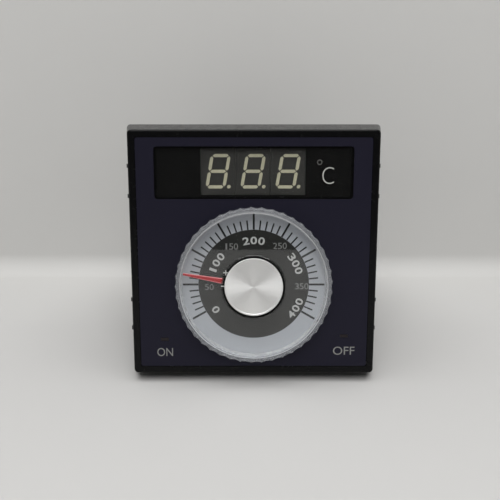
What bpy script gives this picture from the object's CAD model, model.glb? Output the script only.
"""Looks for a 96 x 96 mm panel temperature controller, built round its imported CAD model.

Run as a script, it registers its operators, calls them in order and leaves a finished scene.
"""

import math

import bmesh
import bpy
from mathutils import Matrix, Vector


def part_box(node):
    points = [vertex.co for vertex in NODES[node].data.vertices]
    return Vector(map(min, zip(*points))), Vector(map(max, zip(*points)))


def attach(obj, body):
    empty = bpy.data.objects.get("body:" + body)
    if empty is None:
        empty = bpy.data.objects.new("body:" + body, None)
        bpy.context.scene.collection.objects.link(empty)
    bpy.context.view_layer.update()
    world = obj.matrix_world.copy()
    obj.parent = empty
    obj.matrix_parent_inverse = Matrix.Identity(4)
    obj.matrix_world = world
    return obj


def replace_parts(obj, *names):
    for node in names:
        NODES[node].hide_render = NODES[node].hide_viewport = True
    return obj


bl_info = {
    "name": "Panel Temperature Controller",
    "version": (1, 0, 0),
    "blender": (4, 5, 0),
    "location": "View3D > Sidebar > Controller",
    "description": "Finishes, knob, scale numerals and studio for a panel temperature controller",
    "category": "Object",
}

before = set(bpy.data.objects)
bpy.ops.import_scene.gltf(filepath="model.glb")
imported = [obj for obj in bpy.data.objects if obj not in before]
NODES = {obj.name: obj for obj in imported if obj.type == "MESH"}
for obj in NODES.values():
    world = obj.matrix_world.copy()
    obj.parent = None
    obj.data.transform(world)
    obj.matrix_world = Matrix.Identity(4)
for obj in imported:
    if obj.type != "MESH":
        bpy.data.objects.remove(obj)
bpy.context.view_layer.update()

MM = 0.001
QUARTER_TURN = math.radians(90)
DIAL_LOW, DIAL_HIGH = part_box("dial_plate")
DIAL_FRONT = DIAL_LOW.y
DIAL_AXIS = Vector((0.0, 0.0, (DIAL_LOW.z + DIAL_HIGH.z) / 2))
DIAL_RADIUS = (DIAL_HIGH.x - DIAL_LOW.x) / 2
BLACK_RADIUS = 20.4 * MM
MARK_COUNT, MARK_STEP, MARKS_PER_MAJOR = 41, 6, 5
FIRST_MARK_ANGLE = 210
ENGRAVED_DEPTH = 0.04 * MM
PRINT_GAP = 0.002 * MM
GASKET_SUNK = 0.08 * MM
KNOB_STEPS, CAP_STEPS = 144, 160
COLUMNS_PER_FLUTE = 8
POINTER_ANGLE = 170.0
POINTER_INNER, POINTER_OUTER = 11.5 * MM, 26.1 * MM
KNOB_LOW, KNOB_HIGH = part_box("knob_disc")
CAP_LOW, CAP_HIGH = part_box("knob_cap")
POINTER_LOW, POINTER_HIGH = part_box("pointer")
FILM_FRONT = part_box("panel_film")[0].y
WINDOW_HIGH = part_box("display_window")[1]
BEZEL_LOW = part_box("front_bezel")[0]
REAR_LOW, REAR_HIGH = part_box("rear_plate")
CAMERA_PLACE = (-0.00126, -0.2176, 0.0343)
CAMERA_PITCH, CAMERA_YAW = math.radians(8.98), math.radians(-0.03)
SENSOR_WIDTH = 36.0
SHEET_WIDTH, SHEET_FRONT, SHEET_BACK = 3.2, -0.93, 0.119
SHEET_BEND, SHEET_BEND_STEPS, SHEET_RISE = 0.012, 14, 1.5
SEEN_BACKGROUND = 0.5


# ---- sizes and colours that a user would change ----


def amount(name, description, default, **options):
    return bpy.props.FloatProperty(name=name, description=description, default=default, min=0.0, **options)


def length(name, description, default):
    return amount(name, description, default, subtype="DISTANCE", unit="LENGTH", precision=5)


def colour(name, description, default):
    return bpy.props.FloatVectorProperty(
        name=name, description=description, default=default, min=0.0, max=1.0, subtype="COLOR"
    )


class KnobSettings(bpy.types.PropertyGroup):
    """Sizes of the clear knob and its cap."""

    flutes: bpy.props.IntProperty(
        name="Flutes", description="Scallops round the rim", default=45, min=8, max=90
    )
    flute_depth: length("Flute Depth", "How deep each scallop is cut", 0.45 * MM)
    rim_width: length("Rim Width", "Thickness of the fluted rim's wall", 2.05 * MM)
    rim_round: length("Rim Rounding", "Rounding of the rim's front edge", 0.4 * MM)
    disc_thickness: length("Disc Thickness", "Thickness of the clear disc", 2.2 * MM)
    collar_radius: length("Collar Radius", "Radius of the low ring round the cap", 11.8 * MM)
    collar_height: length("Collar Height", "Height of the low ring round the cap", 0.2 * MM)
    seat_gap: length("Cap Gap", "Gap between the cap and its seat in the knob", 0.8 * MM)
    hub_radius: length("Hub Radius", "Radius of the hub behind the disc", 6.0 * MM)
    bore_radius: length("Bore Radius", "Radius of the hub's bore for its brass bush", 4.42 * MM)
    pointer_root: length("Pointer Root", "Width of the pointer beside the cap", 2.0 * MM)
    pointer_tip: length("Pointer Tip", "Width of the pointer at its tip", 0.8 * MM)
    cap_bevel: length("Cap Bevel", "Rounding of the cap's front edge", 0.18 * MM)


class LetteringSettings(bpy.types.PropertyGroup):
    """Sizes of the numerals and words."""

    large_height: length("Large Numerals", "Height of the numerals at each hundred", 2.8 * MM)
    large_advance: length("Large Spacing", "Distance between the large numerals' centres", 2.85 * MM)
    small_height: length("Small Numerals", "Height of the numerals between the hundreds", 2.27 * MM)
    small_advance: length("Small Spacing", "Distance between the small numerals' centres", 1.75 * MM)
    word_height: length("Lamp Words", "Height of the words under the lamps", 3.2 * MM)
    unit_height: length("Unit Letter", "Height of the letter of the temperature unit", 6.0 * MM)
    relief: length("Ink Thickness", "Thickness of the printed ink", 0.03 * MM)


class DigitSettings(bpy.types.PropertyGroup):
    """Sizes of the light segments."""

    height: length("Digit Height", "Height of a digit", 12.45 * MM)
    width: length("Digit Width", "Width of a digit", 7.35 * MM)
    segment_width: length("Segment Width", "Width of a segment", 1.14 * MM)
    segment_gap: length("Segment Gap", "Half the gap between two segments' points", 0.24 * MM)
    point_radius: length("Point Radius", "Radius of a decimal point", 0.66 * MM)
    slant: amount("Slant", "Lean of the digits, in degrees", 10.0, max=20.0)


class ScaleSettings(bpy.types.PropertyGroup):
    """Sizes of the printed marks of the scale."""

    inner: length("Inner Radius", "Radius at which the marks start", 20.45 * MM)
    major_length: length("Major Length", "Length of each fifth mark", 5.7 * MM)
    minor_length: length("Minor Length", "Length of the marks between", 3.4 * MM)
    major_width: length("Major Width", "Width of each fifth mark", 0.74 * MM)
    minor_width: length("Minor Width", "Width of the marks between", 0.54 * MM)


class FinishSettings(bpy.types.PropertyGroup):
    """Colours of the finishes that show."""

    housing: colour("Housing", "Black moulded housing", (0.0035, 0.0035, 0.0038))
    film: colour("Film", "Dark blue printed film", (0.0125, 0.0118, 0.0215))
    mask: colour("Mask", "Black print behind the window", (0.0022, 0.0022, 0.0022))
    digit_face: colour("Digit Face", "Grey face of the digit modules", (0.027, 0.027, 0.025))
    segment: colour("Segment", "Unlit light segments", (0.58, 0.56, 0.415))
    silver: colour("Silver", "Silver ground of the dial's scale", (0.335, 0.345, 0.37))
    dial_print: colour("Dial Print", "Dark print of the dial", (0.010, 0.010, 0.009))
    ink: colour("Ink", "Pale ink of the numerals and words", (0.37, 0.37, 0.36))
    pointer: colour("Pointer", "Red lacquer of the pointer", (0.31, 0.007, 0.011))
    cap: colour("Cap", "Spun aluminium of the cap", (0.96, 0.96, 0.95))
    board: colour("Boards", "Green solder mask of the boards", (0.012, 0.085, 0.035))


class StageSettings(bpy.types.PropertyGroup):
    """Studio round the controller."""

    floor: colour("Floor", "Colour of the floor", (0.55, 0.545, 0.535))
    wall: colour("Backdrop", "Colour of the backdrop", (0.59, 0.585, 0.57))
    key: amount("Key Light", "Soft light above", 10.9, unit="POWER")
    fill: amount("Fill Light", "Soft light in front", 6.2, unit="POWER")
    side: amount("Side Lights", "Low lamps left and right", 1.0, unit="POWER")
    ambient: amount("Ambient", "Strength of the even light all round", 0.06, max=4.0)
    lens: amount("Lens", "Focal length", 40.54, unit="CAMERA")


# ---- node-tree helpers ----


def material(name, tint, roughness, metallic=0.0, specular=0.5):
    """A material with one Principled shader, its plain values set on the shader's own sockets."""
    made = bpy.data.materials.new(name)
    made.use_nodes = True
    made.diffuse_color = (*tint[:3], 1.0)
    shader = made.node_tree.nodes["Principled BSDF"]
    shader.inputs["Base Color"].default_value = (*tint[:3], 1.0)
    shader.inputs["Roughness"].default_value = roughness
    shader.inputs["Metallic"].default_value = metallic
    shader.inputs["Specular IOR Level"].default_value = specular
    return made


def shader_of(made):
    return made.node_tree.nodes["Principled BSDF"]


def feed(made, socket, value):
    """Link a socket to an input, or write any other value in it."""
    if isinstance(value, bpy.types.NodeSocket):
        made.node_tree.links.new(value, socket)
    else:
        socket.default_value = value


def add_node(made, kind, **inputs):
    """A node with its inputs fed by name."""
    found = made.node_tree.nodes.new(kind)
    for name, value in inputs.items():
        feed(made, found.inputs[name.replace("_", " ")], value)
    return found


def add_maths(made, kind, operation, *values):
    """The value of a maths node, with its inputs fed in order."""
    found = add_node(made, kind)
    found.operation = operation
    for socket, value in zip(found.inputs, values):
        feed(made, socket, value)
    return found.outputs["Value"]


def object_place(made, centre=(0, 0, 0), scale=(1, 1, 1)):
    """Object coordinates measured from a centre, stretched by a scale."""
    source = add_node(made, "ShaderNodeTexCoord")
    offset = tuple(-c * s for c, s in zip(centre, scale))
    return add_node(
        made, "ShaderNodeMapping", Vector=source.outputs["Object"], Location=offset, Scale=scale
    ).outputs["Vector"]


def noise(made, place, scale, detail=3.0, roughness=0.55):
    return add_node(
        made, "ShaderNodeTexNoise", Vector=place, Scale=scale, Detail=detail, Roughness=roughness
    ).outputs["Fac"]


def arithmetic(made, operation, *values):
    return add_maths(made, "ShaderNodeMath", operation, *values)


def mix_shaders(made, factor, first, second):
    """Show one shader where a factor is 0 and another where it is 1."""
    mix = add_node(made, "ShaderNodeMixShader")
    for socket, source in zip(mix.inputs, (factor, first, second)):
        feed(made, socket, source)
    output = made.node_tree.nodes["Material Output"]
    feed(made, output.inputs["Surface"], mix.outputs["Shader"])


def spread(made, factor, low, high, start=0.3, end=0.7):
    """A factor mapped to a range of values."""
    return add_node(
        made, "ShaderNodeMapRange", Value=factor, From_Min=start, From_Max=end, To_Min=low, To_Max=high
    ).outputs["Result"]


def blend_colours(made, factor, first, second):
    """A colour between two, each a plain colour or a socket."""
    found = add_node(made, "ShaderNodeMix")
    found.data_type = "RGBA"
    feed(made, found.inputs["Factor"], factor)
    for name, value in (("A", first), ("B", second)):
        socket = next(s for s in found.inputs if s.name == name and s.type == "RGBA")
        feed(made, socket, value if isinstance(value, bpy.types.NodeSocket) else (*value[:3], 1.0))
    return next(s for s in found.outputs if s.type == "RGBA")


def connect(made, socket, name):
    feed(made, shader_of(made).inputs[name], socket)


def paint(made, factor, first, second):
    """Vary the base colour between two colours."""
    connect(made, blend_colours(made, factor, first, second), "Base Color")


def roughen(made, height, distance, strength=0.5):
    """A bump from a height, in metres."""
    bump = add_node(made, "ShaderNodeBump", Height=height, Strength=strength, Distance=distance)
    connect(made, bump.outputs["Normal"], "Normal")


def scaled(tint, factor):
    return tuple(min(1.0, c * factor) for c in tint[:3])


def mottle(made, factor, tint, dark, light):
    """Vary the base colour between two shades of a tint."""
    paint(made, factor, scaled(tint, dark), scaled(tint, light))


def wear(made, factor, low, high):
    """Vary the roughness between two values."""
    connect(made, spread(made, factor, low, high), "Roughness")


# ---- finishes ----


def moulded_plastic(name, tint, roughness=0.42, grain=5200.0, depth=0.000012, specular=0.5):
    """Moulded thermoplastic with a fine spark-eroded grain and faint flow marks."""
    made = material(name, tint, roughness, specular=specular)
    place = object_place(made)
    flow = noise(made, place, 38.0, 4.0)
    mottle(made, flow, tint, 0.86, 1.16)
    wear(made, noise(made, place, 420.0), roughness - 0.05, roughness + 0.07)
    roughen(made, noise(made, place, grain, 2.0), depth, 0.35)
    return made


def printed_film(name, tint):
    """Satin polyester with ink printed on its back, a little cloudy over its width."""
    made = material(name, tint, 0.34, specular=0.12)
    place = object_place(made)
    cloud = noise(made, place, 16.0, 2.0)
    mottle(made, cloud, tint, 0.93, 1.08)
    wear(made, noise(made, place, 900.0), 0.30, 0.38)
    roughen(made, noise(made, place, 3600.0, 2.0), 0.000006, 0.25)
    return made


def flat_print(name, tint, roughness=0.55, specular=0.3):
    """Screen ink: even, with a faint mesh in its surface."""
    made = material(name, tint, roughness, specular=specular)
    place = object_place(made)
    speck = noise(made, place, 2600.0, 2.0)
    mottle(made, speck, tint, 0.9, 1.08)
    roughen(made, speck, 0.000004, 0.3)
    return made


def clear_plastic(name, tint, roughness):
    """Clear acrylic: lamps shine through it, and the eye sees it refract."""
    made = material(name, tint, roughness)
    shader = shader_of(made)
    shader.inputs["Transmission Weight"].default_value = 1.0
    shader.inputs["IOR"].default_value = 1.49
    passing = add_node(made, "ShaderNodeBsdfTransparent", Color=(*scaled(tint, 0.95), 1.0))
    is_shadow = add_node(made, "ShaderNodeLightPath").outputs["Is Shadow Ray"]
    mix_shaders(made, is_shadow, shader.outputs["BSDF"], passing.outputs["BSDF"])
    return made


def from_axis(made):
    """Distance from the dial's axis, in metres."""
    place = object_place(made, tuple(DIAL_AXIS), (1, 0, 1))
    return add_maths(made, "ShaderNodeVectorMath", "LENGTH", place)


def turned_rings(made, away, pitch, detail):
    """Fine rings about the dial's axis: a noise of the distance from it."""
    rings = add_node(made, "ShaderNodeCombineXYZ", X=arithmetic(made, "MULTIPLY", away, pitch))
    return noise(made, rings.outputs["Vector"], 1.0, detail)


def spun_aluminium(name, tint):
    """Aluminium turned on a lathe: fine rings that stretch its highlights across them."""
    made = material(name, tint, 0.42, metallic=1.0)
    shader = shader_of(made)
    shader.inputs["Anisotropic"].default_value = 0.7
    tangent = add_node(made, "ShaderNodeTangent")
    tangent.direction_type = "RADIAL"
    tangent.axis = "Y"
    connect(made, tangent.outputs["Tangent"], "Tangent")
    lines = turned_rings(made, from_axis(made), 9000.0, 2.0)
    mottle(made, lines, tint, 0.93, 1.04)
    wear(made, lines, 0.38, 0.46)
    return made


def turned_metal(name, tint, roughness=0.3, along=(1, 1, 1)):
    """Plated or turned metal with fine drag marks."""
    made = material(name, tint, roughness, metallic=1.0)
    place = object_place(made, scale=along)
    drag = noise(made, place, 2400.0, 3.0)
    wear(made, drag, roughness - 0.07, roughness + 0.1)
    cloud = noise(made, place, 300.0)
    mottle(made, cloud, tint, 0.86, 1.06)
    roughen(made, drag, 0.000005, 0.3)
    return made


def scale_plate(name, silver, print_tint):
    """The dial plate: silver ground, dark printed centre and dark ink in the engraved marks."""
    made = material(name, silver, 0.5, specular=0.15)
    radius = from_axis(made)
    centre = arithmetic(made, "LESS_THAN", radius, BLACK_RADIUS)
    inside = arithmetic(made, "LESS_THAN", radius, DIAL_RADIUS - 0.2 * MM)
    place = object_place(made)
    depth = add_node(made, "ShaderNodeSeparateXYZ", Vector=place).outputs["Y"]
    sunk = arithmetic(made, "GREATER_THAN", depth, DIAL_FRONT + ENGRAVED_DEPTH)
    mark = arithmetic(made, "MULTIPLY", sunk, inside)
    dark = arithmetic(made, "MAXIMUM", centre, mark)
    cloud = noise(made, place, 60.0, 4.0)
    ground = blend_colours(made, cloud, scaled(silver, 0.92), scaled(silver, 1.06))
    paint(made, dark, ground, print_tint)
    connect(made, spread(made, dark, 0.42, 0.6, 0.0, 1.0), "Roughness")
    connect(made, spread(made, dark, 0.2, 0.0, 0.0, 1.0), "Metallic")
    roughen(made, noise(made, place, 7000.0, 2.0), 0.000003, 0.3)
    return made


def frosted_rim(name, tint, inner):
    """Half-clear moulded rim: faint turned rings, and a bright line where it meets the disc."""
    made = material(name, tint, 0.24)
    shader_of(made).inputs["Alpha"].default_value = 0.42
    away = from_axis(made)
    edge = spread(made, away, 1.0, 0.0, inner + 0.12 * MM, inner + 0.4 * MM)
    rings = turned_rings(made, away, 2600.0, 1.0)
    ground = blend_colours(made, rings, scaled(tint, 0.7), scaled(tint, 1.3))
    paint(made, edge, ground, (0.86, 0.87, 0.88))
    cloud = noise(made, object_place(made), 420.0)
    wear(made, cloud, 0.18, 0.34)
    return made


def pointer_lacquer(name, tint, settings):
    """Red lacquer that thins to pink along both edges of the pointer."""
    made = moulded_plastic(name, tint, 0.18, 2600.0, 0.000003)
    place = object_place(made, tuple(DIAL_AXIS))
    turn = math.radians(POINTER_ANGLE)
    along, across = (
        add_maths(made, "ShaderNodeVectorMath", "DOT_PRODUCT", place, direction)
        for direction in ((math.cos(turn), 0, math.sin(turn)), (-math.sin(turn), 0, math.cos(turn)))
    )
    root, tip = settings.pointer_root / 2, settings.pointer_tip / 2
    half_width = spread(made, along, root, tip, POINTER_INNER, POINTER_OUTER)
    outward = arithmetic(made, "DIVIDE", arithmetic(made, "ABSOLUTE", across), half_width)
    edge = spread(made, outward, 0.0, 1.0, 0.55, 0.9)
    paint(made, edge, tint, (0.62, 0.20, 0.21))
    return made


def light_segment(name, tint):
    """Milky epoxy of an unlit segment, with a little yellow depth."""
    made = material(name, tint, 0.4, specular=0.4)
    place = object_place(made)
    depth = noise(made, place, 700.0, 2.0)
    mottle(made, depth, tint, 0.84, 1.12)
    return made


def circuit_board(name, tint):
    """Glass-epoxy board: the cloth's weave shows faintly through the solder mask."""
    made = material(name, tint, 0.32)
    place = object_place(made)
    weave = add_node(made, "ShaderNodeTexChecker", Vector=place, Scale=2200.0).outputs["Fac"]
    mottle(made, weave, tint, 0.88, 1.1)
    roughen(made, weave, 0.000008, 0.25)
    return made


def laminated_core(name, tint):
    """Varnished steel laminations: fine dark joints between the plates."""
    made = material(name, tint, 0.45, metallic=0.6)
    wave = add_node(made, "ShaderNodeTexWave", Vector=object_place(made), Scale=320.0, Distortion=0.0)
    wave.bands_direction = "Y"
    joints = wave.outputs["Fac"]
    mottle(made, joints, tint, 0.45, 1.2)
    roughen(made, joints, 0.00005, 0.5)
    return made


def wound_tape(name, tint):
    """Polyester tape over a winding, with the edge of each turn just raised."""
    made = material(name, tint, 0.25)
    wave = add_node(made, "ShaderNodeTexWave", Vector=object_place(made), Scale=60.0, Distortion=0.6)
    wave.bands_direction = "Z"
    wave.wave_profile = "SAW"
    turns = wave.outputs["Fac"]
    mottle(made, turns, tint, 0.8, 1.08)
    roughen(made, turns, 0.00006, 0.4)
    return made


# ---- modelling helpers ----


def deselect():
    if bpy.context.object and bpy.context.object.mode != "OBJECT":
        bpy.ops.object.mode_set(mode="OBJECT")
    bpy.ops.object.select_all(action="DESELECT")


def only(piece):
    """Make one object the active and only selected one."""
    deselect()
    piece.select_set(True)
    bpy.context.view_layer.objects.active = piece


def coat(piece, finish):
    piece.data.materials.clear()
    piece.data.materials.append(finish)


def settle(piece, name, finish):
    """Apply an object's place to its mesh, name it and give it its finish."""
    only(piece)
    bpy.ops.object.transform_apply()
    piece.name = piece.data.name = name
    coat(piece, finish)
    return piece


def duplicate(model):
    """A copy with a mesh of its own."""
    copy = model.copy()
    copy.data = model.data.copy()
    bpy.context.scene.collection.objects.link(copy)
    return copy


def edit(kind):
    """Enter edit mode to pick points or edges."""
    bpy.ops.object.mode_set(mode="EDIT")
    bpy.ops.mesh.select_mode(type=kind)


def extrude_edges(move):
    bpy.ops.mesh.extrude_edges_move(TRANSFORM_OT_translate={"value": move})


def close_mesh():
    """Turn all normals outwards and leave edit mode."""
    bpy.ops.mesh.select_all(action="SELECT")
    bpy.ops.mesh.normals_make_consistent(inside=False)
    bpy.ops.object.mode_set(mode="OBJECT")


def rectangle(long, wide, place):
    """A flat rectangle round a place, left in edit mode."""
    deselect()
    bpy.ops.mesh.primitive_plane_add(size=1.0, location=place)
    piece = bpy.context.object
    piece.scale = (long, wide, 1.0)
    bpy.ops.object.transform_apply()
    edit("VERT")
    return piece


def thicken(depth):
    """Give the flat piece in edit mode its depth, and leave edit mode."""
    bpy.ops.mesh.select_all(action="SELECT")
    bpy.ops.mesh.extrude_region_move(TRANSFORM_OT_translate={"value": (0, 0, depth)})
    close_mesh()


def turned(name, profile, steps, finish, angle=35.0, closed=False):
    """A piece turned about the dial's axis: a circle extruded ring by ring along radii and depths."""
    rings = profile[1:] + profile[:1] if closed else profile[1:]
    radius, depth = profile[0]
    deselect()
    bpy.ops.mesh.primitive_circle_add(
        vertices=steps,
        radius=radius,
        fill_type="NOTHING",
        location=(0, depth, DIAL_AXIS.z),
        rotation=(QUARTER_TURN, 0, 0),
    )
    piece = bpy.context.object
    bpy.ops.object.transform_apply()
    edit("EDGE")
    bpy.ops.mesh.select_all(action="SELECT")
    for new_radius, new_depth in rings:
        extrude_edges((0, new_depth - depth, 0))
        grow = new_radius / radius
        bpy.ops.transform.resize(value=(grow, 1, grow), center_override=(0, new_depth, DIAL_AXIS.z))
        radius, depth = new_radius, new_depth
    bpy.ops.mesh.select_all(action="SELECT")
    bpy.ops.mesh.remove_doubles(threshold=1e-7)
    if not closed:
        bpy.ops.mesh.select_all(action="DESELECT")
        bpy.ops.mesh.select_non_manifold()
        bpy.ops.mesh.fill_holes(sides=0)
    close_mesh()
    bpy.ops.object.shade_smooth_by_angle(angle=math.radians(angle))
    return settle(piece, name, finish)


def select_points(piece, wanted):
    """In edit mode, select only the points that pass a test, and say how many there are."""
    bpy.ops.mesh.select_all(action="DESELECT")
    mesh = bmesh.from_edit_mesh(piece.data)
    count = 0
    for point in mesh.verts:
        point.select = bool(wanted(point.co))
        count += point.select
    mesh.select_flush(True)
    bmesh.update_edit_mesh(piece.data)
    return count


def ink(name, words, size, centre, finish, relief, lean=0.0, weight=0.0):
    """Words in thin raised ink, of a height and width, that face the front and lean by an angle."""
    deselect()
    bpy.ops.object.text_add(location=(0, 0, 0))
    piece = bpy.context.object
    piece.data.body = words
    piece.data.offset = weight
    piece.data.resolution_u = 6
    piece.data.extrude = 0.01
    bpy.ops.object.convert(target="MESH")
    piece = bpy.context.object
    low, high = Vector(piece.bound_box[0]), Vector(piece.bound_box[6])
    found = high - low
    height, width = size
    to_centre = Matrix.Translation(-(low + high) / 2)
    stretch = Matrix.Diagonal((width / found.x, height / found.y, relief / found.z, 1.0))
    stand = Matrix.Rotation(QUARTER_TURN, 4, "X")
    turn = Matrix.Rotation(math.radians(-lean), 4, "Y")
    piece.matrix_world = Matrix.Translation(centre) @ turn @ stand @ stretch @ to_centre
    return settle(piece, name, finish)


def on_dial(degrees, radius, depth):
    """The point at an angle and a distance from the dial's axis."""
    turn = math.radians(degrees)
    return Vector((radius * math.cos(turn), depth, DIAL_AXIS.z + radius * math.sin(turn)))


def join(pieces, name):
    """Join meshes into the first."""
    deselect()
    for piece in pieces:
        piece.select_set(True)
    bpy.context.view_layer.objects.active = pieces[0]
    bpy.ops.object.join()
    joined = bpy.context.object
    joined.name = joined.data.name = name
    return joined


def finish_nodes(made, *names):
    """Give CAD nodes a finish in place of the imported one."""
    for name in names:
        coat(NODES[name], made)


# ---- operators ----


class PieceOperator:
    bl_options = {"REGISTER", "UNDO"}


class CONTROLLER_OT_housing(PieceOperator, bpy.types.Operator):
    """Finish the bezel, case, rear plate, clamps and terminal blocks"""

    bl_idname = "controller.housing"
    bl_label = "Housing"

    def execute(self, context):
        tint = context.scene.controller_finish.housing
        finish_nodes(moulded_plastic("bezel_plastic", tint, 0.22, 4200.0, 0.000006, 0.13), "front_bezel")
        finish_nodes(moulded_plastic("case_plastic", scaled(tint, 2.2), 0.46, 2600.0, 0.00003), "case")
        finish_nodes(moulded_plastic("rear_plastic", scaled(tint, 2.6), 0.42, 3000.0, 0.00002), "rear_plate")
        clamp = moulded_plastic("clamp_nylon", scaled(tint, 2.4), 0.5, 1900.0, 0.00003)
        finish_nodes(clamp, "clamp_left", "clamp_right")
        terminal = moulded_plastic("terminal_phenolic", scaled(tint, 3.2), 0.38, 3400.0, 0.00001)
        finish_nodes(terminal, "terminal_block_left", "terminal_block_right")
        return {"FINISHED"}


class CONTROLLER_OT_face(PieceOperator, bpy.types.Operator):
    """Finish the film, window, mask, digits and lamps"""

    bl_idname = "controller.face"
    bl_label = "Face"

    def execute(self, context):
        tints = context.scene.controller_finish
        finish_nodes(printed_film("face_film", tints.film), "panel_film")
        finish_nodes(flat_print("mask_print", tints.mask, 0.6, 0.04), "display_mask")
        finish_nodes(clear_plastic("window_acrylic", (0.82, 0.82, 0.81), 0.02), "display_window")
        face = moulded_plastic("digit_epoxy", tints.digit_face, 0.4, 5200.0, 0.000005)
        finish_nodes(face, "digit_hundreds", "digit_tens", "digit_units")
        finish_nodes(light_segment("segment_plain", tints.segment), "digit_segments")
        finish_nodes(light_segment("lamp_epoxy", (0.008, 0.004, 0.005)), "on_lamp", "off_lamp")
        return {"FINISHED"}


class CONTROLLER_OT_segments(PieceOperator, bpy.types.Operator):
    """Build the unlit light segments and decimal points of the three digits"""

    bl_idname = "controller.segments"
    bl_label = "Light Segments"

    def bar(self, sizes, long, deep):
        """A flat bar along X with a point at each end."""
        half = (long - sizes.segment_width) / 2 - sizes.segment_gap
        made = rectangle(2 * half, sizes.segment_width, (0, 0, 0))
        for side in (-1, 1):
            select_points(made, lambda point: point.x * side > half - 1e-6)
            reach = side * sizes.segment_width / 2
            extrude_edges((reach, 0, 0))
            bpy.ops.mesh.merge(type="CENTER")
        thicken(deep)
        return made

    def point(self, radius, deep):
        """A round decimal point with a softened front edge."""
        deselect()
        bpy.ops.mesh.primitive_cylinder_add(vertices=28, radius=radius, depth=deep, location=(0, 0, deep / 2))
        made = bpy.context.object
        bpy.ops.object.transform_apply()
        edit("VERT")
        select_points(made, lambda point: point.z > deep / 2)
        bpy.ops.mesh.bevel(offset=0.08 * MM, segments=2, affect="EDGES")
        bpy.ops.object.mode_set(mode="OBJECT")
        return made

    def execute(self, context):
        sizes = context.scene.controller_digits
        low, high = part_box("digit_segments")
        deep = (high.y - low.y) * 0.94
        lean = Matrix.Identity(4)
        lean[0][1] = math.tan(math.radians(sizes.slant))
        span = sizes.width - sizes.segment_width
        rise = (sizes.height - sizes.segment_width) / 2
        across = self.bar(sizes, span, deep)
        upright = self.bar(sizes, rise, deep)
        dot = self.point(sizes.point_radius, deep)
        finish = light_segment("segment_epoxy", context.scene.controller_finish.segment)
        places = [(across, 0, v, 0) for v in (rise, 0, -rise)]
        for u in (-span / 2, span / 2):
            places += [(upright, u, v, QUARTER_TURN) for v in (rise / 2, -rise / 2)]
        dot_across = (sizes.width + sizes.segment_width) / 2 + sizes.point_radius
        places.append((dot, dot_across, sizes.point_radius - sizes.height / 2, 0))
        depth = low.y - 0.02 * MM + deep
        bars = []
        for node_name in ("digit_hundreds", "digit_tens", "digit_units"):
            module_low, module_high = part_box(node_name)
            centre = Vector(((module_low.x + module_high.x) / 2, depth, (low.z + high.z) / 2))
            for model, u, v, turn in places:
                copy = duplicate(model)
                copy.data.transform(Matrix.Rotation(turn, 4, "Z"))
                copy.data.transform(Matrix.Translation((u, v, 0)))
                copy.data.transform(lean)
                copy.matrix_world = Matrix.Translation(centre) @ Matrix.Rotation(QUARTER_TURN, 4, "X")
                bars.append(settle(copy, "segment", finish))
        for model in (across, upright, dot):
            bpy.data.objects.remove(model)
        lit = join(bars, "light_segments")
        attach(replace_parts(lit, "digit_segments"), "instrument")
        return {"FINISHED"}


class CONTROLLER_OT_dial(PieceOperator, bpy.types.Operator):
    """Finish the dial plate, the pointer and the potentiometer's pieces"""

    bl_idname = "controller.dial"
    bl_label = "Dial"

    def execute(self, context):
        tints = context.scene.controller_finish
        finish_nodes(scale_plate("dial_scale", tints.silver, tints.dial_print), "dial_plate")
        finish_nodes(moulded_plastic("pointer_plain", tints.pointer, 0.22, 2600.0, 0.000004), "pointer")
        finish_nodes(turned_metal("bush_brass", (0.72, 0.5, 0.2), 0.28), "knob_bush")
        finish_nodes(turned_metal("shaft_steel", (0.55, 0.54, 0.52), 0.26, (1, 0.1, 1)), "pot_shaft")
        finish_nodes(moulded_plastic("pot_phenolic", (0.03, 0.022, 0.016), 0.45), "pot_body")
        finish_nodes(turned_metal("fixing_steel", (0.6, 0.6, 0.6), 0.3), "pot_washer", "pot_nut")
        return {"FINISHED"}


class CONTROLLER_OT_works(PieceOperator, bpy.types.Operator):
    """Finish the boards, their components, the terminals and the screws"""

    bl_idname = "controller.works"
    bl_label = "Works"

    def execute(self, context):
        tints = context.scene.controller_finish
        board = circuit_board("board_mask", tints.board)
        finish_nodes(board, "display_board", "main_board", "terminal_board")
        finish_nodes(turned_metal("tinned_pins", (0.72, 0.72, 0.7), 0.3), "digit_pins")
        zinc = turned_metal("zinc_screws", (0.62, 0.62, 0.64), 0.3)
        finish_nodes(zinc, "board_screws", "rear_screws", "terminal_screws")
        steel = turned_metal("lock_screws", (0.5, 0.5, 0.52), 0.34)
        finish_nodes(steel, "clamp_screw_left", "clamp_screw_right")
        finish_nodes(turned_metal("contact_brass", (0.76, 0.66, 0.45), 0.3), "contact_plates")
        finish_nodes(laminated_core("core_laminations", (0.16, 0.155, 0.15)), "transformer_core")
        finish_nodes(moulded_plastic("bobbin_nylon", (0.66, 0.63, 0.54), 0.45), "transformer_bobbin")
        finish_nodes(wound_tape("winding_tape", (0.62, 0.42, 0.05)), "transformer_winding")
        finish_nodes(moulded_plastic("relay_cover", (0.016, 0.07, 0.3), 0.25), "relay")
        finish_nodes(moulded_plastic("capacitor_sleeve", (0.008, 0.015, 0.08), 0.25), "filter_capacitors")
        chip = moulded_plastic("chip_compound", (0.018, 0.018, 0.018), 0.55)
        finish_nodes(chip, "rectifier", "voltage_regulator", "converter_chip", "amplifier_chip")
        finish_nodes(moulded_plastic("trimmer_plastic", (0.016, 0.1, 0.42), 0.3), "calibration_trimmers")
        finish_nodes(moulded_plastic("connector_nylon", (0.7, 0.68, 0.6), 0.4), "board_link", "rear_link")
        return {"FINISHED"}


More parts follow.
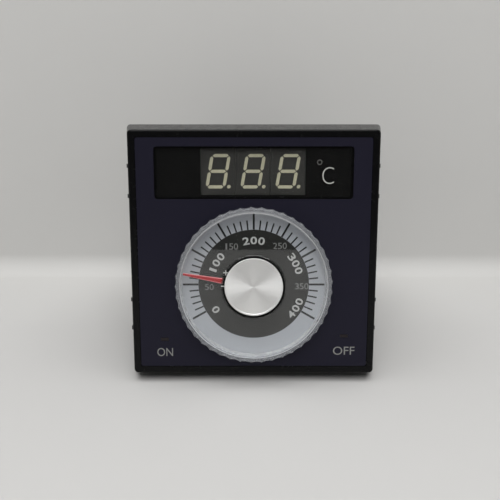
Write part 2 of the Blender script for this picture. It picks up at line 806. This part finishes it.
class CONTROLLER_OT_knob(PieceOperator, bpy.types.Operator):
    """Build the clear disc of the knob and its fluted rim"""

    bl_idname = "controller.knob"
    bl_label = "Knob"

    def execute(self, context):
        sizes = context.scene.controller_knob
        radius = (KNOB_HIGH.z - KNOB_LOW.z) / 2
        inner = radius - sizes.rim_width
        front = KNOB_LOW.y + sizes.collar_height
        seat = (CAP_HIGH.x - CAP_LOW.x) / 2 + sizes.seat_gap
        self.build_lens(sizes, inner, front, seat)
        self.build_gasket(sizes, front, seat)
        self.build_rim(sizes, radius, inner, front)
        return {"FINISHED"}

    def build_lens(self, sizes, inner, front, seat):
        """The clear disc, with the cap's seat and low ring in front and the hub behind."""
        joint, ring_land = 0.02 * MM, 0.12 * MM
        disc_back = front + sizes.disc_thickness
        profile = [
            (seat, CAP_HIGH.y),
            (seat, front - sizes.collar_height),
            (seat + ring_land, front - sizes.collar_height),
            (sizes.collar_radius, front),
            (inner - joint, front),
            (inner - joint, disc_back),
            (sizes.hub_radius, disc_back),
            (sizes.hub_radius, KNOB_HIGH.y),
            (sizes.bore_radius, KNOB_HIGH.y),
            (sizes.bore_radius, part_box("knob_bush")[0].y),
        ]
        clear = clear_plastic("knob_acrylic", (0.97, 0.98, 0.98), 0.015)
        disc = turned("knob_lens", profile, KNOB_STEPS, clear)
        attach(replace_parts(disc, "knob_disc"), "knob")

    def build_gasket(self, sizes, front, seat):
        """The dark ring that fills the gap round the cap."""
        play, deep = 0.05 * MM, 0.3 * MM
        outer, inner = seat - play, seat - sizes.seat_gap + play
        top = front - sizes.collar_height + GASKET_SUNK
        profile = [(outer, front + deep), (outer, top), (inner, top), (inner, front + deep)]
        black = flat_print("gasket_black", (0.004, 0.004, 0.004), 0.7, 0.1)
        gasket = turned("cap_gasket", profile, KNOB_STEPS, black, closed=True)
        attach(gasket, "knob")

    def build_rim(self, sizes, radius, inner, front):
        """The frosted rim, with two fine grooves in its front and flutes round its side."""
        soft = sizes.rim_round
        back = FILM_FRONT - 0.4 * MM
        back_bevel = 0.15 * MM
        groove_half, groove_depth, groove_pitch = 0.12 * MM, 0.09 * MM, 0.5 * MM
        profile = [
            (inner, back),
            (radius - back_bevel, back),
            (radius, back - back_bevel),
            (radius, front + soft),
            (radius - 0.3 * soft, front + 0.3 * soft),
        ]
        for groove in range(2):
            edge = radius - soft - groove * groove_pitch
            profile += [
                (edge, front),
                (edge - groove_half, front + groove_depth),
                (edge - 2 * groove_half, front),
            ]
        profile += [(inner + 0.1 * MM, front), (inner, front + 0.05 * MM)]
        columns = sizes.flutes * COLUMNS_PER_FLUTE
        frosted = frosted_rim("rim_acrylic", (0.34, 0.35, 0.37), inner)
        rim = turned("knob_rim", profile, columns, frosted, 28.0, closed=True)
        self.cut_flutes(rim, sizes.flute_depth, radius, inner + 0.4 * MM, columns)
        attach(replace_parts(rim, "knob_disc"), "knob")

    def cut_flutes(self, rim, flute_depth, radius, wall, columns):
        """Draw in the columns of points outside a wall, deepest in the middle of each flute."""
        half = COLUMNS_PER_FLUTE // 2
        only(rim)
        edit("VERT")
        for step in range(1 - half, half):

            def in_flute(point):
                away = point.z - DIAL_AXIS.z
                around = math.atan2(away, point.x) / (2 * math.pi) * columns
                return math.hypot(point.x, away) > wall and (round(around) - step) % COLUMNS_PER_FLUTE == 0

            if not select_points(rim, in_flute):
                raise RuntimeError("the rim has no points to flute")
            kept = (radius - flute_depth * (1 - (step / half) ** 2)) / radius
            bpy.ops.transform.resize(value=(kept, 1, kept), center_override=tuple(DIAL_AXIS))
        bpy.ops.object.mode_set(mode="OBJECT")


class CONTROLLER_OT_cap(PieceOperator, bpy.types.Operator):
    """Build the spun aluminium cap"""

    bl_idname = "controller.cap"
    bl_label = "Cap"

    def execute(self, context):
        bevel = context.scene.controller_knob.cap_bevel
        radius = (CAP_HIGH.x - CAP_LOW.x) / 2
        front, back = CAP_LOW.y, CAP_HIGH.y
        profile = [(radius, back)]
        arc_steps = 6
        for step in range(arc_steps + 1):
            turn = QUARTER_TURN * step / arc_steps
            profile.append((radius - bevel * (1 - math.cos(turn)), front + bevel * (1 - math.sin(turn))))
        lip_width, slope_width, dish_depth = 0.35 * MM, 0.12 * MM, 0.1 * MM
        lip = radius - bevel - lip_width
        profile += [(lip, front), (lip - slope_width, front + dish_depth)]
        finish = spun_aluminium("cap_aluminium", context.scene.controller_finish.cap)
        cap = turned("cap_disc", profile, CAP_STEPS, finish, 30.0)
        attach(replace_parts(cap, "knob_cap"), "knob")
        return {"FINISHED"}


class CONTROLLER_OT_numerals(PieceOperator, bpy.types.Operator):
    """Print the scale's numerals on the dial plate"""

    bl_idname = "controller.numerals"
    bl_label = "Scale Numerals"

    def execute(self, context):
        sizes = context.scene.controller_lettering
        tint = context.scene.controller_finish.ink
        bright = flat_print("numeral_ink", tint)
        dim = flat_print("small_numeral_ink", scaled(tint, 0.42))
        plane = DIAL_FRONT - sizes.relief / 2 - PRINT_GAP
        large = []
        for words, degrees, radius, inward in (
            ("0", 214.2, 17.0 * MM, True),
            ("100", 149.6, 15.95 * MM, False),
            ("200", 90.0, 16.42 * MM, False),
            ("300", 26.9, 17.33 * MM, False),
            ("400", -30.1, 18.1 * MM, True),
        ):
            step = math.degrees(sizes.large_advance / radius) * (1 if inward else -1)
            for place, letter in enumerate(words):
                at = degrees + step * (place - (len(words) - 1) / 2)
                lean = at + 90 if inward else at - 90
                size = (sizes.large_height, 1.0 * MM if letter == "1" else 2.4 * MM)
                spot = on_dial(at, radius, plane)
                large.append(ink("numeral", letter, size, spot, bright, sizes.relief, lean, 0.022))
        piece = join(large, "scale_numerals_large")
        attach(piece, "instrument")

        small = []
        for words, x, z in (
            ("50", -16.42, -11.71),
            ("150", -8.26, 3.44),
            ("250", 9.57, 3.66),
            ("350", 17.7, -11.42),
        ):
            for place, letter in enumerate(words):
                along = x * MM + sizes.small_advance * (place - (len(words) - 1) / 2)
                size = (sizes.small_height, 0.6 * MM if letter == "1" else 1.5 * MM)
                spot = Vector((along, plane, z * MM))
                small.append(ink("numeral", letter, size, spot, dim, sizes.relief))
        piece = join(small, "scale_numerals_small")
        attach(piece, "instrument")
        return {"FINISHED"}


class CONTROLLER_OT_marks(PieceOperator, bpy.types.Operator):
    """Ink the engraved marks of the scale"""

    bl_idname = "controller.marks"
    bl_label = "Scale Marks"

    def execute(self, context):
        sizes = context.scene.controller_scale
        relief = context.scene.controller_lettering.relief
        finish = flat_print("mark_black", (0.006, 0.006, 0.006), 0.55, 0.1)
        models = {}
        for kind, long, wide in (
            ("major", sizes.major_length, sizes.major_width),
            ("minor", sizes.minor_length, sizes.minor_width),
        ):
            models[kind] = rectangle(long, wide, (sizes.inner + long / 2, 0, 0))
            thicken(relief)
        marks = []
        for place in range(MARK_COUNT):
            mark = duplicate(models["minor" if place % MARKS_PER_MAJOR else "major"])
            turn = math.radians(FIRST_MARK_ANGLE - MARK_STEP * place)
            mark.matrix_world = (
                Matrix.Translation((0, DIAL_FRONT - PRINT_GAP, DIAL_AXIS.z))
                @ Matrix.Rotation(-turn, 4, "Y")
                @ Matrix.Rotation(QUARTER_TURN, 4, "X")
            )
            marks.append(settle(mark, "mark", finish))
        for model in models.values():
            bpy.data.objects.remove(model)
        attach(join(marks, "scale_marks"), "instrument")
        return {"FINISHED"}


class CONTROLLER_OT_pointer(PieceOperator, bpy.types.Operator):
    """Build the slim red pointer behind the knob's disc"""

    bl_idname = "controller.pointer"
    bl_label = "Pointer"

    def execute(self, context):
        sizes = context.scene.controller_knob
        deep = POINTER_HIGH.y - POINTER_LOW.y
        deselect()
        bpy.ops.mesh.primitive_cube_add(size=1.0, location=((POINTER_INNER + POINTER_OUTER) / 2, 0, 0))
        blade = bpy.context.object
        blade.scale = (POINTER_OUTER - POINTER_INNER, deep, sizes.pointer_root)
        bpy.ops.object.transform_apply()
        edit("VERT")
        select_points(blade, lambda point: point.x > POINTER_OUTER - 0.01 * MM)
        taper = sizes.pointer_tip / sizes.pointer_root
        bpy.ops.transform.resize(value=(1, 1, taper), center_override=(POINTER_OUTER, 0, 0))
        bpy.ops.mesh.select_all(action="SELECT")
        bpy.ops.mesh.bevel(offset=0.12 * MM, segments=2, affect="EDGES")
        bpy.ops.object.mode_set(mode="OBJECT")
        blade.matrix_world = Matrix.Translation(
            (0, (POINTER_LOW.y + POINTER_HIGH.y) / 2, DIAL_AXIS.z)
        ) @ Matrix.Rotation(math.radians(-POINTER_ANGLE), 4, "Y")
        finish = pointer_lacquer("pointer_lacquer", context.scene.controller_finish.pointer, sizes)
        settle(blade, "pointer_blade", finish)
        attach(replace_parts(blade, "pointer"), "knob")
        return {"FINISHED"}


class CONTROLLER_OT_words(PieceOperator, bpy.types.Operator):
    """Print the words under the lamps"""

    bl_idname = "controller.words"
    bl_label = "Lamp Words"

    def execute(self, context):
        sizes = context.scene.controller_lettering
        finish = flat_print("word_ink", scaled(context.scene.controller_finish.ink, 0.62))
        plane = FILM_FRONT - sizes.relief / 2 - PRINT_GAP
        for words, x, z, width in (("ON", -33.5, -37.2, 5.95), ("OFF", 34.1, -36.65, 8.1)):
            size = (sizes.word_height, width * MM)
            spot = Vector((x * MM, plane, z * MM))
            piece = ink(f"word_{words.lower()}", words, size, spot, finish, sizes.relief)
            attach(piece, "instrument")
        return {"FINISHED"}


class CONTROLLER_OT_unit(PieceOperator, bpy.types.Operator):
    """Print the unit sign on the back of the window"""

    bl_idname = "controller.unit"
    bl_label = "Unit Sign"

    def execute(self, context):
        sizes = context.scene.controller_lettering
        bright = flat_print("unit_ink", scaled(context.scene.controller_finish.ink, 1.9))
        dim = flat_print("degree_ink", scaled(context.scene.controller_finish.ink, 0.42))
        plane = WINDOW_HIGH.y + sizes.relief / 2 + 0.01 * MM
        size = (sizes.unit_height, 4.2 * MM)
        spot = Vector((27.0 * MM, plane, 29.1 * MM))
        letter = ink("unit_letter", "C", size, spot, bright, sizes.relief, weight=-0.025)
        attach(letter, "instrument")
        deselect()
        radius, hole = 0.97 * MM, 0.66
        bpy.ops.mesh.primitive_circle_add(
            vertices=40, radius=radius, fill_type="NOTHING", location=(0, 0, 0)
        )
        ring = bpy.context.object
        bpy.ops.object.mode_set(mode="EDIT")
        bpy.ops.mesh.select_all(action="SELECT")
        bpy.ops.mesh.extrude_edges_move()
        bpy.ops.transform.resize(value=(hole, hole, 1.0), center_override=(0, 0, 0))
        bpy.ops.object.mode_set(mode="OBJECT")
        wall = ring.modifiers.new("Ink", "SOLIDIFY")
        wall.thickness = sizes.relief
        wall.offset = 0.0
        only(ring)
        bpy.ops.object.modifier_apply(modifier=wall.name)
        spot = Vector((23.84 * MM, plane, 33.88 * MM))
        ring.matrix_world = Matrix.Translation(spot) @ Matrix.Rotation(QUARTER_TURN, 4, "X")
        settle(ring, "unit_degree", dim)
        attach(ring, "instrument")
        return {"FINISHED"}


class CONTROLLER_OT_adjust_marks(PieceOperator, bpy.types.Operator):
    """Print the plus and minus marks on the knob's collar"""

    bl_idname = "controller.adjust_marks"
    bl_label = "Adjusting Marks"

    def execute(self, context):
        sizes = context.scene.controller_lettering
        finish = flat_print("mark_ink", scaled(context.scene.controller_finish.ink, 1.4))
        plane = KNOB_LOW.y + GASKET_SUNK - sizes.relief / 2 - PRINT_GAP
        for name, words, degrees, radius, high, wide in (
            ("mark_plus", "+", 152.0, 11.4, 1.9, 1.9),
            ("mark_minus", "-", 178.0, 11.2, 0.35, 1.2),
        ):
            spot = on_dial(degrees, radius * MM, plane)
            piece = ink(name, words, (high * MM, wide * MM), spot, finish, sizes.relief)
            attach(piece, "knob")
        return {"FINISHED"}


def aimed(name, data, place, look):
    """A lamp or camera at a place, that looks along a direction."""
    found = bpy.data.objects.new(name, data)
    bpy.context.scene.collection.objects.link(found)
    found.location = place
    found.rotation_euler = look.to_track_quat("-Z", "Y").to_euler()
    return found


def lamp(name, place, aim, size, watts):
    """A soft rectangular lamp that looks at a point."""
    data = bpy.data.lights.new(name, "AREA")
    data.shape = "RECTANGLE"
    data.size, data.size_y = size
    data.energy = watts
    aimed(name, data, place, Vector(aim) - Vector(place))


class CONTROLLER_OT_stage(PieceOperator, bpy.types.Operator):
    """Build the floor, backdrop, lamps and camera"""

    bl_idname = "controller.stage"
    bl_label = "Studio"

    def execute(self, context):
        sizes = context.scene.controller_stage
        self.build_floor(sizes)
        self.build_world(context, sizes)
        lamp("key_light", (0.0, -0.30, 1.0), (0, -0.30, -0.05), (1.5, 0.8), sizes.key)
        lamp("fill_light", (0.0, -0.9, 0.75), (0, 0, -0.02), (0.8, 0.5), sizes.fill)
        lamp("left_light", (-0.9, -0.55, -0.02), (0, 0, -0.02), (0.3, 0.5), sizes.side)
        lamp("right_light", (0.9, -0.55, -0.02), (0, 0, -0.02), (0.3, 0.5), sizes.side * 0.8)
        data = bpy.data.cameras.new("camera")
        data.lens = sizes.lens
        data.sensor_width = SENSOR_WIDTH
        level = math.cos(CAMERA_PITCH)
        look = Vector((math.sin(CAMERA_YAW) * level, math.cos(CAMERA_YAW) * level, -math.sin(CAMERA_PITCH)))
        context.scene.camera = aimed("camera", data, CAMERA_PLACE, look)
        context.scene.view_settings.view_transform = "Standard"
        return {"FINISHED"}

    def build_floor(self, sizes):
        """A sheet that runs along the floor, under the bezel and the rear plate, and sweeps up behind."""
        slope = (REAR_LOW.z - BEZEL_LOW.z) / REAR_HIGH.y
        floor = rectangle(
            SHEET_WIDTH, SHEET_BACK - SHEET_FRONT, (0, (SHEET_FRONT + SHEET_BACK) / 2, BEZEL_LOW.z)
        )
        select_points(floor, lambda point: point.y > 0)
        step_turn = QUARTER_TURN / SHEET_BEND_STEPS
        run = SHEET_BEND * step_turn
        for step in range(SHEET_BEND_STEPS):
            turn = step_turn * (step + 0.5)
            extrude_edges((0, run * math.cos(turn), run * math.sin(turn)))
        extrude_edges((0, 0, SHEET_RISE))
        close_mesh()
        bpy.ops.object.shade_smooth()
        floor.matrix_world = (
            Matrix.Translation((0, 0, BEZEL_LOW.z))
            @ Matrix.Rotation(math.atan(slope), 4, "X")
            @ Matrix.Translation((0, 0, -BEZEL_LOW.z))
        )
        paper = material("studio_paper", sizes.floor, 0.85, specular=0.2)
        up = add_node(paper, "ShaderNodeSeparateXYZ", Vector=object_place(paper)).outputs["Z"]
        rise = spread(paper, up, 0.0, 1.0, BEZEL_LOW.z + 4 * MM, BEZEL_LOW.z + 12 * MM)
        paint(paper, rise, sizes.floor, sizes.wall)
        self.open_back(paper)
        settle(floor, "studio_sweep", paper)

    def open_back(self, paper):
        """Show the sheet from above and in front alone; its normals point down and behind."""
        behind = add_node(paper, "ShaderNodeNewGeometry").outputs["Backfacing"]
        clear = add_node(paper, "ShaderNodeBsdfTransparent")
        mix_shaders(paper, behind, clear.outputs["BSDF"], shader_of(paper).outputs["BSDF"])

    def build_world(self, context, sizes):
        """Even light all round, with a mid grey where the camera looks past the sheet."""
        world = bpy.data.worlds.new("studio")
        context.scene.world = world
        world.use_nodes = True
        back = world.node_tree.nodes["Background"]
        back.inputs["Color"].default_value = (1.0, 0.995, 0.985, 1.0)
        seen = add_node(world, "ShaderNodeLightPath").outputs["Is Camera Ray"]
        strength = spread(world, seen, sizes.ambient, SEEN_BACKGROUND, 0.0, 1.0)
        feed(world, back.inputs["Strength"], strength)


class CONTROLLER_PT_panel(bpy.types.Panel):
    bl_idname = "CONTROLLER_PT_panel"
    bl_label = "Temperature Controller"
    bl_space_type = "VIEW_3D"
    bl_region_type = "UI"
    bl_category = "Controller"

    def draw(self, context):
        layout = self.layout
        for operator in OPERATORS:
            layout.operator(operator.bl_idname)
        for group in GROUPS:
            box = layout.box()
            settings = getattr(context.scene, group)
            for name in settings.__annotations__:
                box.prop(settings, name)


GROUPS = {
    "controller_knob": KnobSettings,
    "controller_lettering": LetteringSettings,
    "controller_scale": ScaleSettings,
    "controller_digits": DigitSettings,
    "controller_finish": FinishSettings,
    "controller_stage": StageSettings,
}
OPERATORS = (
    CONTROLLER_OT_housing,
    CONTROLLER_OT_face,
    CONTROLLER_OT_segments,
    CONTROLLER_OT_dial,
    CONTROLLER_OT_works,
    CONTROLLER_OT_knob,
    CONTROLLER_OT_cap,
    CONTROLLER_OT_pointer,
    CONTROLLER_OT_marks,
    CONTROLLER_OT_numerals,
    CONTROLLER_OT_words,
    CONTROLLER_OT_unit,
    CONTROLLER_OT_adjust_marks,
    CONTROLLER_OT_stage,
)


def register():
    for name, group in GROUPS.items():
        bpy.utils.register_class(group)
        setattr(bpy.types.Scene, name, bpy.props.PointerProperty(type=group))
    for operator in OPERATORS:
        bpy.utils.register_class(operator)
    bpy.utils.register_class(CONTROLLER_PT_panel)


def unregister():
    bpy.utils.unregister_class(CONTROLLER_PT_panel)
    for operator in reversed(OPERATORS):
        bpy.utils.unregister_class(operator)
    for name, group in reversed(GROUPS.items()):
        delattr(bpy.types.Scene, name)
        bpy.utils.unregister_class(group)


def main():
    register()
    bpy.ops.controller.housing()
    bpy.ops.controller.face()
    bpy.ops.controller.segments()
    bpy.ops.controller.dial()
    bpy.ops.controller.works()
    bpy.ops.controller.knob()
    bpy.ops.controller.cap()
    bpy.ops.controller.pointer()
    bpy.ops.controller.marks()
    bpy.ops.controller.numerals()
    bpy.ops.controller.words()
    bpy.ops.controller.unit()
    bpy.ops.controller.adjust_marks()
    bpy.ops.controller.stage()


if __name__ == "__main__":
    main()
